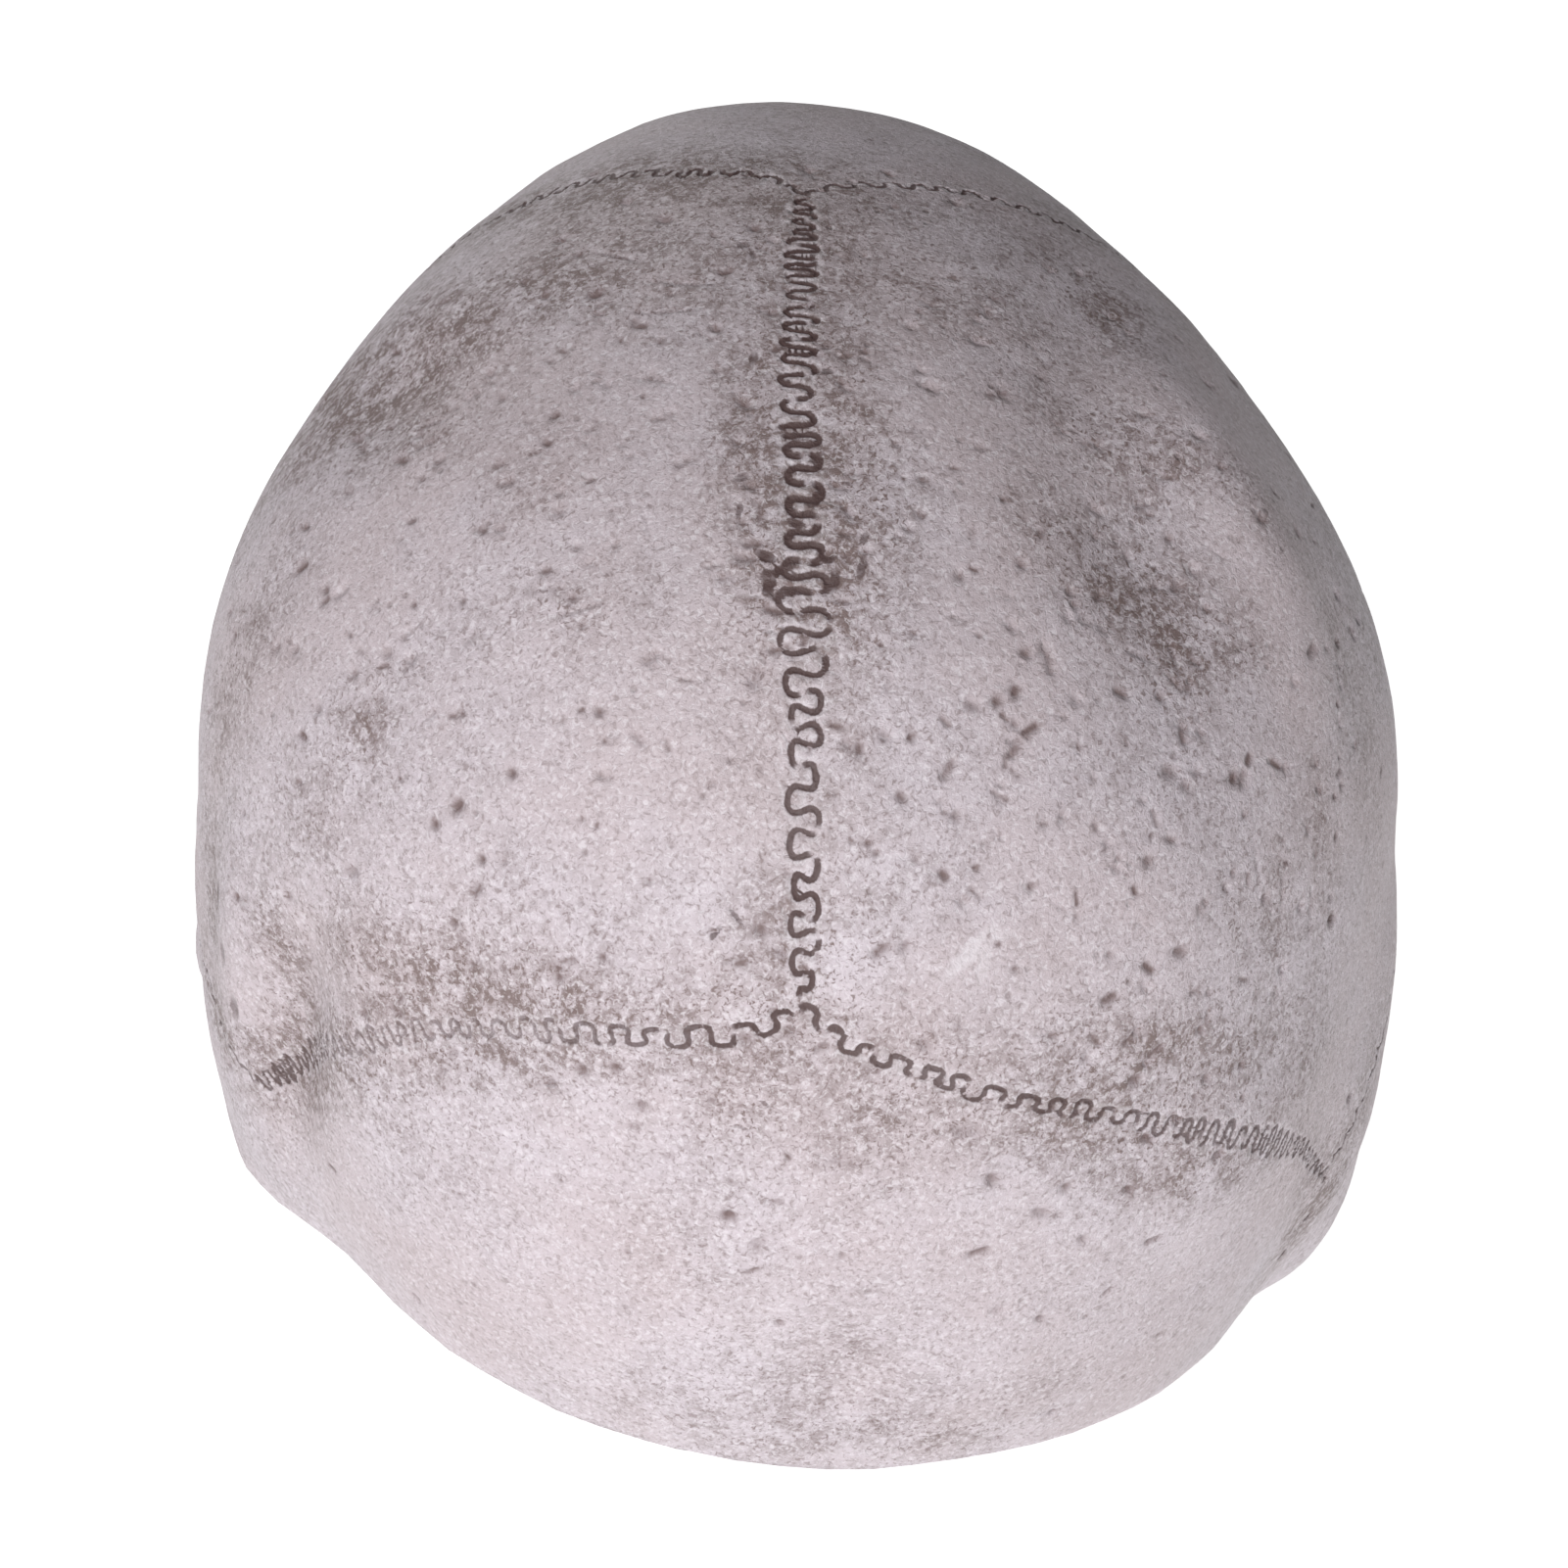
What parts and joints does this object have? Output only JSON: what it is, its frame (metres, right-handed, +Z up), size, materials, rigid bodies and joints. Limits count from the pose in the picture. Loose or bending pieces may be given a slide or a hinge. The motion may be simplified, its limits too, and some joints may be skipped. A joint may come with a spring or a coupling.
{
  "type": "skull mask",
  "caption": "Full-head theatre and carnival mask: a thin hollow latex skull, worn over the head, with open eye, nose and mouth holes.",
  "frame": {"origin": "the point inside the top of the crown where the mask sits on the wearer's head", "axes": "+Z up as worn, the face looks along -Y, +X is the wearer's left side"},
  "size_m": [0.2142, 0.2454, 0.2769],
  "materials": {
    "latex": "matt painted latex, off-white with brown-grey washes"
  },
  "bodies": {
    "root": {"latex_mask": "latex"}
  },
  "joints": []
}
